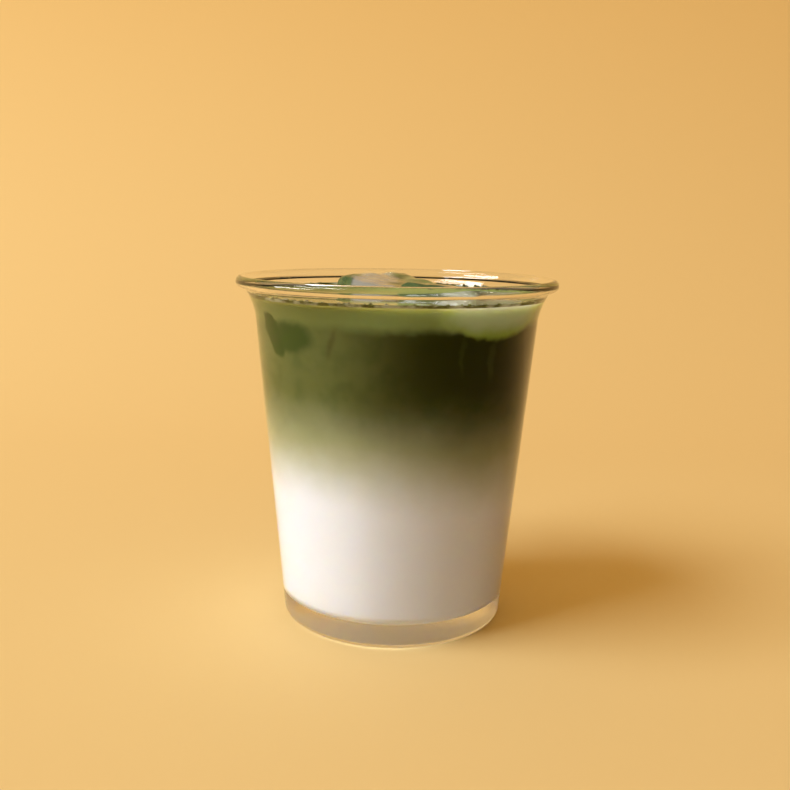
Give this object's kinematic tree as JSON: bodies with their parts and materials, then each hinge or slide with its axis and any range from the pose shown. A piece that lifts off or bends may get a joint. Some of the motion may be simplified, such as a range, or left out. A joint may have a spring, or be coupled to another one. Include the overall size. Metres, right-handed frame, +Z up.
{
  "type": "iced matcha latte in a glass tumbler",
  "caption": "Clear flared glass tumbler holding an iced latte: milk below, matcha above, with ice cubes standing proud of the drink.",
  "frame": {"origin": "centre of the tumbler's foot, on the surface it stands on", "axes": "+Z up along the tumbler's axis; the side that the picture shows faces -Y"},
  "size_m": [0.0922, 0.0922, 0.1002],
  "materials": {
    "glass": "clear polished",
    "milk": "wet, opaque",
    "matcha": "wet, cloudy",
    "ice": "wet, melting"
  },
  "bodies": {
    "root": {"glass": "glass", "milk": "milk", "matcha": "matcha", "ice_back": "ice", "ice_right": "ice"}
  },
  "joints": []
}
